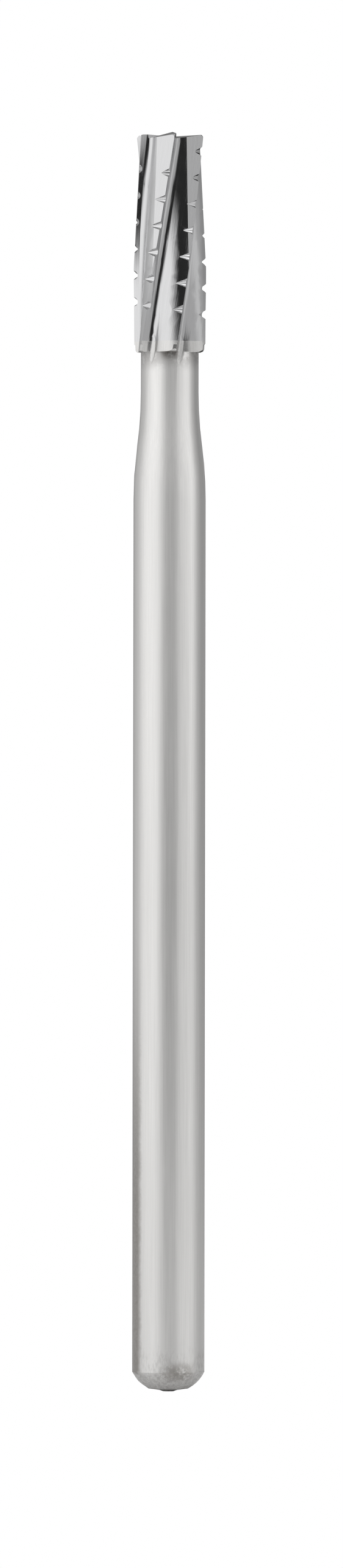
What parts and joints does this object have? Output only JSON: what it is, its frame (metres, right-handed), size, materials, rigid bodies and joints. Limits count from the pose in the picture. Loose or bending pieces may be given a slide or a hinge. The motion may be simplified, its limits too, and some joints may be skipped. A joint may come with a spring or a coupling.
{
  "type": "carbide burr",
  "caption": "Friction-grip surgical fissure burr with a straight, crosscut, helically fluted carbide head, its edges ground to flats near the tip, on a long plain steel shank with a waisted neck.",
  "frame": {"origin": "on the axis, at the tip of the parting pip on the shank's back end", "axes": "+Z along the axis from the back end of the shank towards the cutting head; the front of the object looks along +Y"},
  "size_m": [0.0016, 0.0016, 0.0279],
  "materials": {
    "carbide": "ground and polished tungsten carbide, fine wheel marks along the flutes, matt ground end",
    "steel": "centreless-ground stainless steel, fine satin, slightly mottled at the rounded back end"
  },
  "bodies": {
    "root": {"carbide_head": "carbide", "steel_shank": "steel"}
  },
  "joints": []
}
